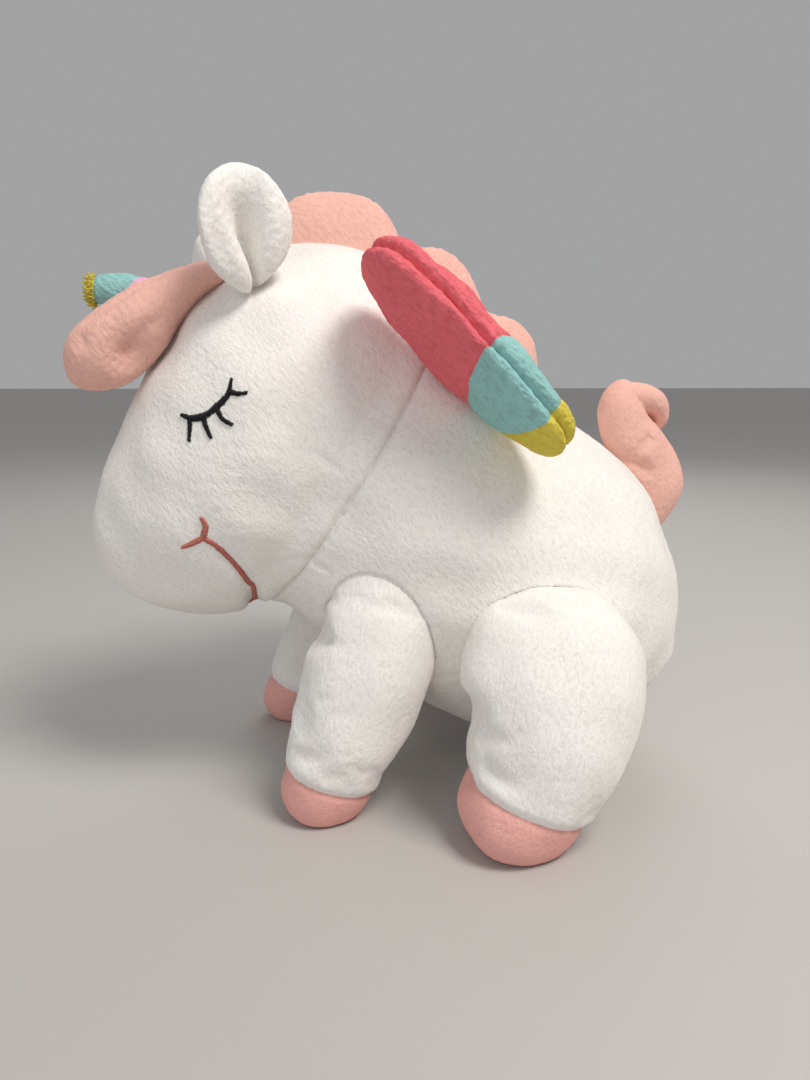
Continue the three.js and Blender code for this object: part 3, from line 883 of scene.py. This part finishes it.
PILE_SIZES = [(trunk, 0.04), (LEGS["front"], 0.04), (LEGS["hind"], 0.04), (ear, 0.05), (horn, 0.07),
              (forelock, 0.05), (mane, 0.05), (tail, 0.05), (wing, 0.07)]
for number, (form, size) in enumerate(PILE_SIZES):
    pile(form, 10 + number, size)
for leg in LEGS.values():
    above_floor(leg)

# ------------------------------------------------------------------ pieces


def finished(obj, material, body, nodes):
    """Gives a piece its material, slot and body, and hides the CAD nodes that it stands for."""
    obj.data.materials.clear()
    obj.data.materials.append(material)
    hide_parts(*nodes)
    if body:
        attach(obj, body)


def bent(obj, limb, root, end):
    """Bakes the limb's placement into its mesh."""
    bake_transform(obj)


head = cut(trunk, "head_cover", NECK)
finished(head, WHITE, "body", ["head_left_panel", "head_right_panel", "head_filling"])
finished(trunk, WHITE, "body",
         ["torso_left_panel", "torso_right_panel", "belly_panel", "torso_filling"])

LEG_BENDS = {"front": ((50, -20, 98), (50, -24, 62)), "hind": ((71, 42, 92), (76, 40, 54))}
for end, leg in LEGS.items():
    point, normal = HOOF_SEAMS[end]
    left_hoof = cut(leg, "left_hoof", (point, -normal))
    twins = [mirrored_copy(o, "right_twin", opposite(end)) for o in (leg, left_hoof)]
    for side, flip, (sleeve, hoof) in (("left", 1, (leg, left_hoof)), ("right", -1, twins)):
        body = f"{side}_{end}_leg"
        sleeve.name, hoof.name = f"{body}_sleeve_cover", f"{body}_hoof_cover"
        finished(sleeve, WHITE_LEG, None, [f"{body}_sleeve", f"{body}_filling"])
        finished(hoof, HOOF, body, [f"{body}_hoof"])
        bent(sleeve, body, *[(x * flip, y, z) for x, y, z in LEG_BENDS[end]])

WINGS = {"left": (wing, (1, 1, 1)), "right": (mirrored_copy(wing, "right_wing_cover"), (-1, 1, 1))}
for side, (cover, flip) in WINGS.items():
    body = f"{side}_wing"
    tip = cut(cover, f"{body}_yellow_cover", [v * flip for v in WING_YELLOW])
    middle = cut(cover, f"{body}_teal_cover", [v * flip for v in WING_TEAL])
    finished(cover, PINK, None, [f"{body}_pink_panel", f"{body}_padding"])
    finished(middle, TEAL, None, [f"{body}_teal_panel"])
    finished(tip, YELLOW, None, [f"{body}_yellow_tip"])
    root, span = WING_AT * flip, WING_AXES[1] * flip
    for piece in (cover, middle, tip):
        bent(piece, body, root + span * 2, root + span * 16)

ear_line = np.array([EAR_AT, EAR_AT + EAR_UP])
for side, cover, (root, tip) in (("left", ear, ear_line), ("right", right_ear, leaned(ear_line))):
    up = tip - root
    finished(cover, WHITE_LEG, None, [f"{side}_ear_front", f"{side}_ear_back"])
    bent(cover, f"{side}_ear", root + up * 3, root + up * 13)

tip = cut(horn, "horn_tip_cover", HORN_YELLOW)
band = cut(horn, "horn_band_cover", HORN_TEAL)
finished(horn, HORN_PINK, None, ["horn_pink_base", "horn_filling"])
finished(band, TEAL, None, ["horn_teal_band"])
finished(tip, YELLOW, None, ["horn_yellow_tip"])
tuft(tip, (0, -127.6, 203), 5.9)
for piece in (horn, band, tip):
    bent(piece, "horn", (0, -82, 193), (0, -98, 197))

finished(forelock, PEACH, None, ["forelock_cover", "forelock_filling"])
bent(forelock, "forelock", (24, -70, 211), (25, -84, 205))
finished(mane, PEACH, "body", ["mane_left_face", "mane_right_face", "mane_filling"])
finished(tail, PEACH, None, ["tail_cover", "tail_filling"])
bent(tail, "tail", (0, 99, 108), (0, 113, 118))

# ------------------------------------------------------------------ embroidery

HEAD_TREE = tree_of(head)


def on_head(p, lift=0.0):
    """The point of the head nearest to p, raised by lift, and its normal."""
    at, normal, _, _ = HEAD_TREE.find_nearest(Vector(p) * MM)
    return np.array(at) / MM + np.array(normal) * lift, np.array(normal)


def satin(bm, points, widths, rng, pitch=0.3, slant=0.35):
    """Close stitches laid across a curve on the head, from one edge of it to the other."""
    line, along = spline([on_head(p)[0] for p in points], 0.1)
    for s in np.arange(0, along[-1], pitch):
        i = min(int(np.searchsorted(along, s)), len(line) - 2)
        ahead = line[i + 1] - line[max(i - 1, 0)]
        ahead /= np.linalg.norm(ahead)
        _, normal = on_head(line[i])
        beside = np.cross(normal, ahead)
        half = np.interp(s / along[-1], np.linspace(0, 1, len(widths)), widths) / 2
        half *= 1 + rng.normal(0, 0.12)
        lean = ahead * half * slant
        ends = [line[i] + (beside * half + lean) * k + rng.normal(0, 0.06, 3) for k in (-1, -0.55, 0, 0.55, 1)]
        lifts = (-0.1, 0.42, 0.62, 0.42, -0.1)
        add_tube(bm, [on_head(e, lift + rng.normal(0, 0.03))[0] for e, lift in zip(ends, lifts)], 0.2)


def embroidered(name, strokes, material, nodes):
    rng = np.random.default_rng(len(name))
    bm = bmesh.new()
    for points, widths in strokes:
        satin(bm, points, widths, rng)
    bmesh.ops.recalc_face_normals(bm, faces=bm.faces)
    stitches = made(name, bm)
    stitches.data.shade_smooth()
    finished(stitches, material, "body", nodes)


# Strokes: the line on the head, and the width of its stitches along it.
LID = [(47.3, -87.8, 156.1), (49.2, -84.9, 155.1), (51.1, -81.5, 155.3), (52.3, -78.7, 156.3),
       (53.2, -76.0, 158.2), (53.9, -73.8, 160.2), (54.6, -71.5, 162.3), (54.7, -70.4, 164.2),
       (54.5, -69.9, 166.2), (54.1, -69.4, 168.5)]
EYE = [
    (LID, (1.2, 2.2, 2.6, 2.7, 2.5, 2.4, 2.6, 2.2, 1.5, 0.9)),
    ([(49.2, -84.9, 155.1), (50.1, -85.1, 151.0), (50.8, -85.6, 147.0)], (2.2, 1.9, 1.4)),
    ([(51.9, -80.1, 154.9), (53.3, -79.1, 151.5), (54.3, -77.7, 148.1)], (2.2, 1.8, 1.3)),
    ([(53.7, -75.1, 158.0), (55.3, -73.5, 155.0), (56.3, -69.9, 152.9)], (2.2, 1.7, 1.3)),
    ([(54.9, -70.2, 163.9), (56.4, -67.6, 163.4), (57.1, -64.3, 163.8)], (2.2, 1.7, 1.2)),
]
SMILE = (MOUTH + mirrored(MOUTH[-2::-1]), (2.1, 2.2, 2.2, 2.1))
TICKS = [
    ([(49.1, -82.6, 112.6), (50.6, -81.1, 116.9), (51.4, -82.6, 120.4)], (2.2, 2.4, 1.2)),
    ([(49.1, -82.6, 112.6), (48.1, -85.4, 111.0), (46.0, -90.2, 108.9)], (2.2, 2.2, 1.1)),
]


def other_side(strokes):
    return [(mirrored(points), widths) for points, widths in strokes]


embroidered("left_eye_stitches", EYE, BLACK, ["left_eye_embroidery"])
embroidered("right_eye_stitches", other_side(EYE), BLACK, ["right_eye_embroidery"])
embroidered("mouth_stitches", [SMILE, *TICKS, *other_side(TICKS)], ROSE, ["mouth_embroidery"])

# ------------------------------------------------------------------ floor and light

FLOOR_REACH = 30  # m


def plain(name, colour, rough):
    m = bpy.data.materials.new(name)
    m.use_nodes = True
    shader = m.node_tree.nodes["Principled BSDF"]
    shader.inputs["Base Color"].default_value = (*colour, 1)
    shader.inputs["Roughness"].default_value = rough
    return m


floor_mesh = bpy.data.meshes.new("floor")
corners = [(x * FLOOR_REACH, y * FLOOR_REACH, 0) for x, y in ((-1, -1), (1, -1), (1, 1), (-1, 1))]
floor_mesh.from_pydata(corners, [], [(0, 1, 2, 3)])
floor_mesh.materials.append(plain("floor", (0.50, 0.485, 0.465), 0.7))
link("floor", floor_mesh)


def area_light(name, at, to, size, watts, colour):
    light = bpy.data.objects.new(name, bpy.data.lights.new(name, "AREA"))
    light.data.size, light.data.energy, light.data.color = size, watts, colour
    light.location = at
    light.rotation_mode = "QUATERNION"
    light.rotation_quaternion = (Vector(to) - Vector(at)).to_track_quat("-Z", "Y")
    bpy.context.scene.collection.objects.link(light)


area_light("key", (0.62, 0.42, 1.2), (0, 0, 0.12), 0.45, 13.2, (1.0, 0.955, 0.9))
area_light("fill", (1.2, -0.9, 0.6), (0, 0, 0.1), 1.2, 4.2, (0.95, 0.97, 1.0))
area_light("back", (-0.9, 0.3, 0.9), (0, 0, 0.12), 0.8, 3.5, (1.0, 0.98, 0.95))

world = bpy.data.worlds.new("world")
bpy.context.scene.world = world
world.use_nodes = True
world.node_tree.nodes["Background"].inputs["Color"].default_value = (0.66, 0.66, 0.67, 1)
world.node_tree.nodes["Background"].inputs["Strength"].default_value = 0.55
bpy.context.scene.view_settings.view_transform = "Standard"
